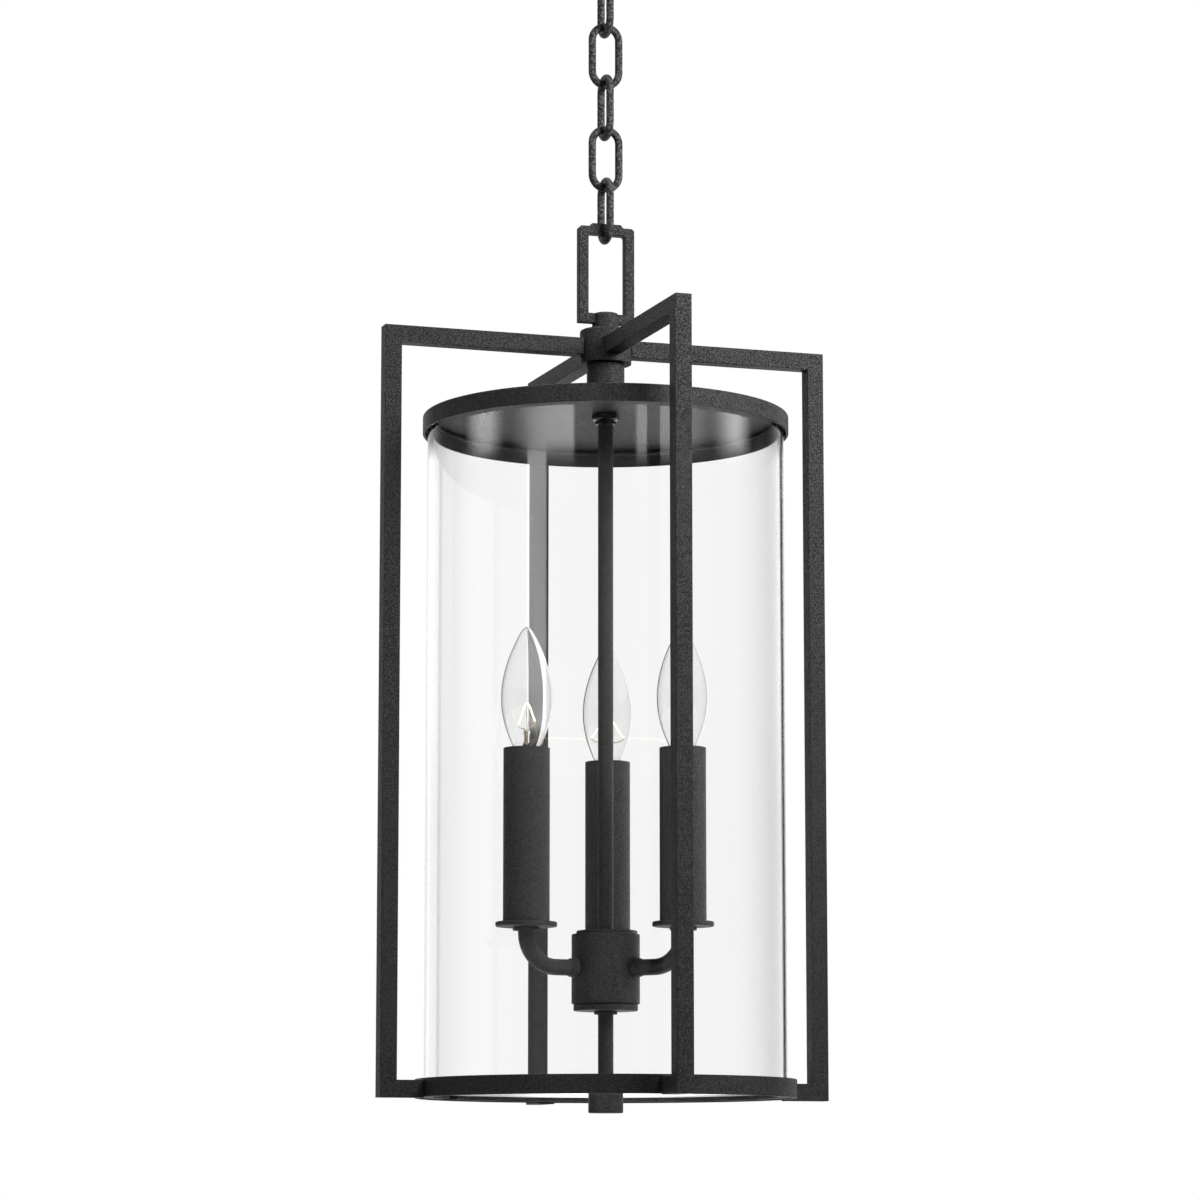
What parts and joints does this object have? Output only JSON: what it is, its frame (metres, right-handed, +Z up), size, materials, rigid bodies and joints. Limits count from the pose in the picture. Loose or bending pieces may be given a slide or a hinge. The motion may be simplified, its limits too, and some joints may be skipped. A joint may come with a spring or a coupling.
{
  "type": "hanging lantern",
  "caption": "Cage of square black bars round a clear glass cylinder with candle lamps on a central cluster, hung by a rectangular loop from a short chain and a ceiling canopy.",
  "frame": {"origin": "middle of the mounting strap's top face, which lies against the ceiling box", "axes": "+Z up, the lantern hanging below the origin; +X towards the right rail and +Y towards the back rail; the front rail, at -Y, is the one nearest the viewer"},
  "size_m": [0.2892, 0.2892, 0.7895],
  "materials": {
    "black_coat": "fine sand textured matt black coat",
    "black_chain": "rough matt black coat over wire",
    "clear_glass": "clear, polished",
    "bulb_clear": "clear, thin blown",
    "silicone": "translucent white",
    "black_rubber": "matt black",
    "bright_steel": "bright zinc plate",
    "brass": "bright rolled thread",
    "white_ceramic": "white moulded socket"
  },
  "bodies": {
    "ceiling_set": {"mounting_strap": "bright_steel", "canopy_nipple": "bright_steel", "ceiling_canopy": "black_coat", "canopy_collar_nut": "black_coat", "canopy_loop": "black_coat"},
    "link_1": {"chain_link_1": "black_chain"},
    "link_2": {"chain_link_2": "black_chain"},
    "link_3": {"chain_link_3": "black_chain"},
    "link_4": {"chain_link_4": "black_chain"},
    "link_5": {"chain_link_5": "black_chain"},
    "lantern": {"hanger_loop": "black_coat", "top_hub": "black_coat", "hub_neck": "black_coat", "frame_rail_right": "black_coat", "frame_rail_back": "black_coat", "frame_rail_left": "black_coat", "frame_rail_front": "black_coat", "top_cap": "black_coat", "bottom_ring": "black_coat", "glass_retaining_ring": "black_coat", "centre_tube": "black_coat", "cluster_body": "black_coat", "cluster_top_plate": "black_coat", "cluster_bottom_cap": "black_coat", "cluster_nut": "black_coat", "lower_rod": "black_coat", "finial": "black_coat", "candle_arm_1": "black_coat", "arm_flange_1": "black_coat", "bobeche_collar_1": "black_coat", "bobeche_1": "black_coat", "candle_sleeve_1": "black_coat", "socket_1": "white_ceramic", "candle_arm_2": "black_coat", "arm_flange_2": "black_coat", "bobeche_collar_2": "black_coat", "bobeche_2": "black_coat", "candle_sleeve_2": "black_coat", "socket_2": "white_ceramic", "candle_arm_3": "black_coat", "arm_flange_3": "black_coat", "bobeche_collar_3": "black_coat", "bobeche_3": "black_coat", "candle_sleeve_3": "black_coat", "socket_3": "white_ceramic", "glass_cylinder": "clear_glass", "bottom_gasket": "silicone", "top_gasket": "black_rubber", "cap_nut": "bright_steel", "jam_nut": "bright_steel"},
    "bulb_1": {"bulb_base_1": "brass", "bulb_glass_1": "bulb_clear", "filament_stem_1": "bulb_clear"},
    "bulb_2": {"bulb_base_2": "brass", "bulb_glass_2": "bulb_clear", "filament_stem_2": "bulb_clear"},
    "bulb_3": {"bulb_base_3": "brass", "bulb_glass_3": "bulb_clear", "filament_stem_3": "bulb_clear"}
  },
  "joints": [
    {"name": "link_1_swing", "type": "hinge", "parent": "ceiling_set", "child": "link_1", "pos_m": [0, 0, -0.0769], "axis": [1, 0, 0], "range_deg": [-20, 20]},
    {"name": "link_2_swing", "type": "hinge", "parent": "link_1", "child": "link_2", "pos_m": [0, 0, -0.11], "axis": [0, 1, 0], "range_deg": [-20, 20]},
    {"name": "link_3_swing", "type": "hinge", "parent": "link_2", "child": "link_3", "pos_m": [0, 0, -0.1435], "axis": [1, 0, 0], "range_deg": [-20, 20]},
    {"name": "link_4_swing", "type": "hinge", "parent": "link_3", "child": "link_4", "pos_m": [0, 0, -0.177], "axis": [0, 1, 0], "range_deg": [-20, 20]},
    {"name": "link_5_swing", "type": "hinge", "parent": "link_4", "child": "link_5", "pos_m": [0, 0, -0.2105], "axis": [1, 0, 0], "range_deg": [-20, 20]},
    {"name": "lantern_swing", "type": "hinge", "parent": "link_5", "child": "lantern", "pos_m": [0, 0, -0.244], "axis": [0, 1, 0], "range_deg": [-20, 20]},
    {"name": "bulb_1_out", "type": "slide", "parent": "lantern", "child": "bulb_1", "axis": [0, 0, 1], "range_m": [0, 0.03]},
    {"name": "bulb_2_out", "type": "slide", "parent": "lantern", "child": "bulb_2", "axis": [0, 0, 1], "range_m": [0, 0.03]},
    {"name": "bulb_3_out", "type": "slide", "parent": "lantern", "child": "bulb_3", "axis": [0, 0, 1], "range_m": [0, 0.03]}
  ]
}
